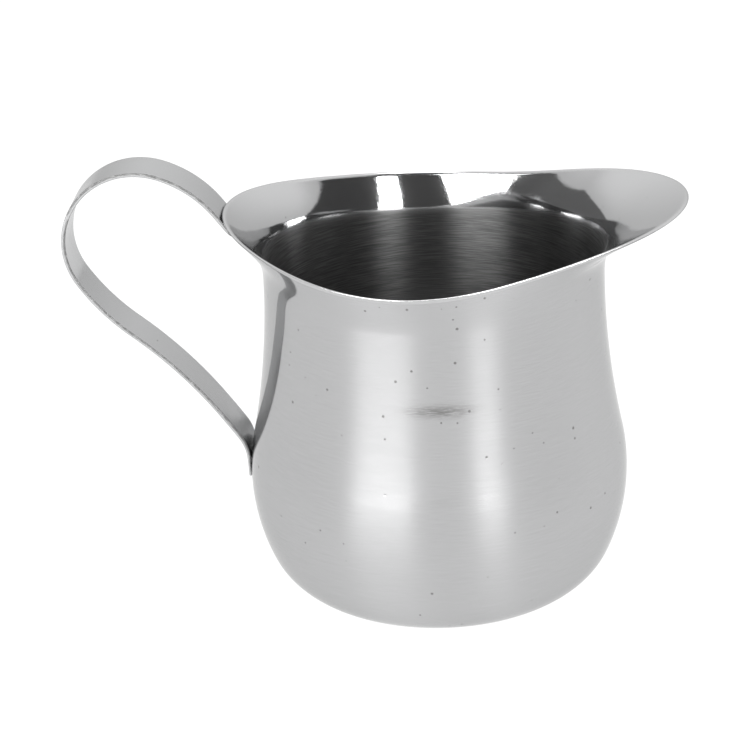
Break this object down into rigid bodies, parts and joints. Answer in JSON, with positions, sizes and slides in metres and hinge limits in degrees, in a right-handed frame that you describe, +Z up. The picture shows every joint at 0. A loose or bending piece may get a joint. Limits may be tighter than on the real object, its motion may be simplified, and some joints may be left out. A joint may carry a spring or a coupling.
{
  "type": "cream jug",
  "caption": "Small steel cream jug: round-bellied drawn shell with a flared, raised pouring lip and an open strap handle welded on one side.",
  "frame": {"origin": "centre of the standing ring, on the jug's axis, in the plane of the table", "axes": "+Z up along the jug's axis, +X towards the pouring lip, the handle on the -X side, +Y to complete a right-handed frame"},
  "size_m": [0.1184, 0.073, 0.0851],
  "materials": {
    "shell_steel": "polished, with fine turned brushing round the body",
    "strap_steel": "satin faces with sheared, slightly rough rims",
    "weld_steel": "as fused"
  },
  "bodies": {
    "root": {"body_shell": "shell_steel", "handle_strap": "strap_steel", "lip_weld_left": "weld_steel", "lip_weld_right": "weld_steel", "belly_weld_left": "weld_steel", "belly_weld_right": "weld_steel"}
  },
  "joints": []
}
